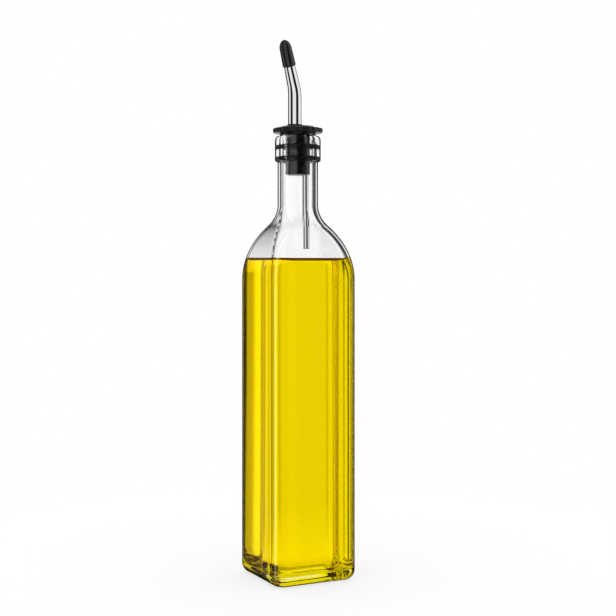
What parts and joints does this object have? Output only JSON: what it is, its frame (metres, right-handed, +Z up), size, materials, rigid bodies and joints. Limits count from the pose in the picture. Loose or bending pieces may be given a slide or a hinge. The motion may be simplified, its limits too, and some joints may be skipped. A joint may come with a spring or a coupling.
{
  "type": "oil dispenser bottle",
  "caption": "Tall square glass bottle of yellow cooking oil, with a black rubber stopper, a bent steel pouring spout, its dust cap and a breather tube.",
  "frame": {"origin": "middle of the bottle's base, on the surface it stands on", "axes": "+Z up along the bottle; the four flat sides face +X, -X, +Y and -Y; the spout leans towards -X and -Y"},
  "size_m": [0.058, 0.058, 0.3364],
  "materials": {
    "clear_glass": "clear moulded soda-lime glass, smooth and glossy",
    "yellow_oil": "clear bright yellow cooking oil, seen through the glass",
    "stopper_rubber": "soft black moulded rubber, satin",
    "spout_steel": "polished stainless steel, mirror bright",
    "cap_rubber": "black rubber, satin",
    "breather_steel": "bright drawn stainless steel tube"
  },
  "bodies": {
    "root": {"glass_bottle": "clear_glass", "oil": "yellow_oil", "stopper": "stopper_rubber", "spout_tube": "spout_steel", "dust_cap": "cap_rubber", "breather_tube": "breather_steel"}
  },
  "joints": []
}
